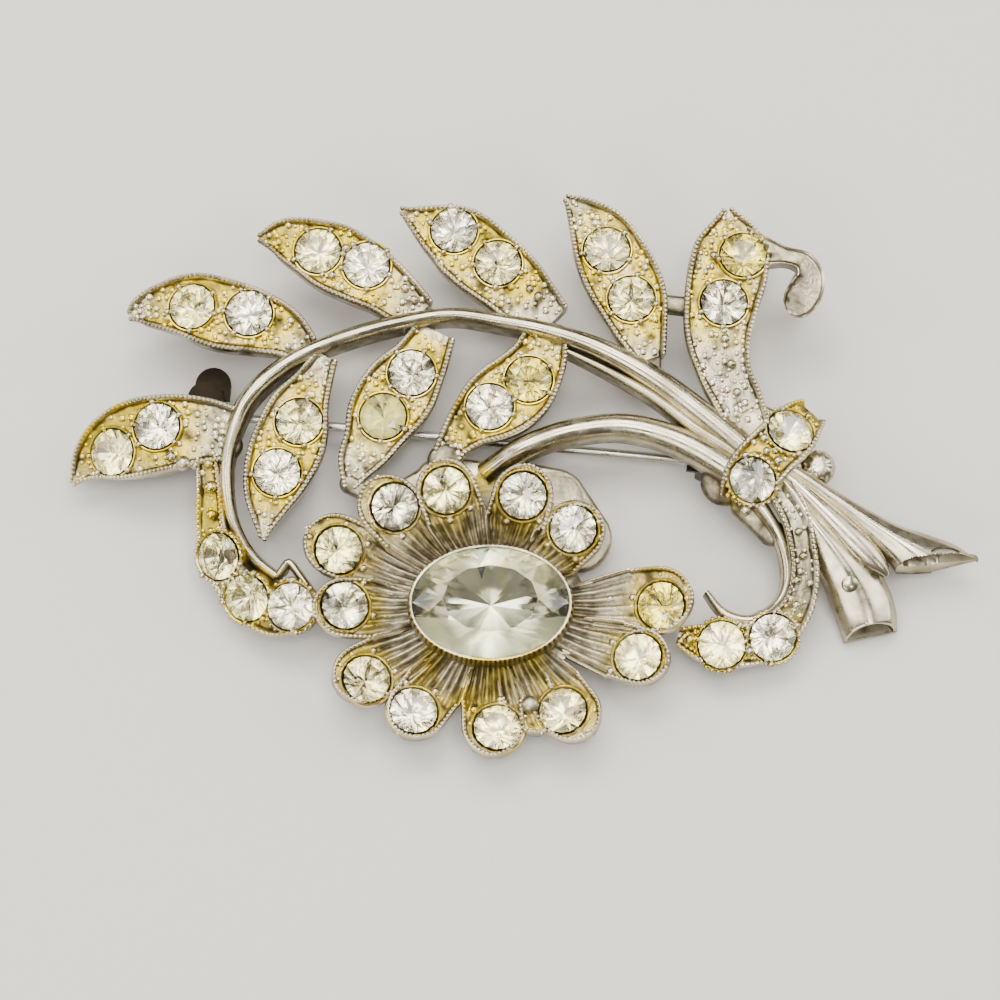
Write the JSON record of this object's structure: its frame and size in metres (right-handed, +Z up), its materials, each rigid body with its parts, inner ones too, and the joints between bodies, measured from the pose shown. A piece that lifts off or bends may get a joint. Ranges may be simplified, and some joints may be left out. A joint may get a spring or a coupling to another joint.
{
  "type": "rhinestone brooch",
  "caption": "Flower spray brooch: leaves, ribbon and scrolls set with round clear stones round a flower with an oval centre stone, and a hinged pin on the back.",
  "frame": {"origin": "centre of the bounding box at the surface it lies on", "axes": "+X along the brooch's length, from the long leaf's tip to the tails; +Y to the top of the design; +Z up, out of the stones"},
  "size_m": [0.0823, 0.0522, 0.0095],
  "materials": {
    "cast_metal": "silver-tone plate, warm and worn",
    "flower_metal": "silver-tone plate, warm and tarnished in the hollows",
    "oval_glass": "cut and foiled",
    "round_glass": "cut and foiled",
    "fittings": "plated, dark with age",
    "pin_steel": "plain wire"
  },
  "bodies": {
    "brooch": {"spray": "cast_metal", "flower": "flower_metal", "centre_stone": "oval_glass", "hinge": "fittings", "catch": "fittings", "leaf_stone_1": "round_glass", "leaf_stone_2": "round_glass", "leaf_stone_3": "round_glass", "leaf_stone_4": "round_glass", "leaf_stone_5": "round_glass", "leaf_stone_6": "round_glass", "leaf_stone_7": "round_glass", "leaf_stone_8": "round_glass", "leaf_stone_9": "round_glass", "leaf_stone_10": "round_glass", "leaf_stone_11": "round_glass", "leaf_stone_12": "round_glass", "leaf_stone_13": "round_glass", "leaf_stone_14": "round_glass", "leaf_stone_15": "round_glass", "leaf_stone_16": "round_glass", "ribbon_stone_1": "round_glass", "ribbon_stone_2": "round_glass", "flourish_stone_1": "round_glass", "flourish_stone_2": "round_glass", "flourish_stone_3": "round_glass", "scroll_stone_1": "round_glass", "scroll_stone_2": "round_glass", "knot_stone_1": "round_glass", "knot_stone_2": "round_glass", "petal_stone_1": "round_glass", "petal_stone_2": "round_glass", "petal_stone_3": "round_glass", "petal_stone_4": "round_glass", "petal_stone_5": "round_glass", "petal_stone_6": "round_glass", "petal_stone_7": "round_glass", "petal_stone_8": "round_glass", "petal_stone_9": "round_glass", "petal_stone_10": "round_glass", "petal_stone_11": "round_glass", "petal_stone_12": "round_glass"},
    "pin": {"pin_stem": "pin_steel"}
  },
  "joints": [
    {"name": "pin_hinge", "type": "hinge", "parent": "brooch", "child": "pin", "pos_m": [0.01786, 0.00206, 0.00185], "axis": [-0.0989, -0.9896, -0.104], "range_deg": [0, 100]}
  ]
}
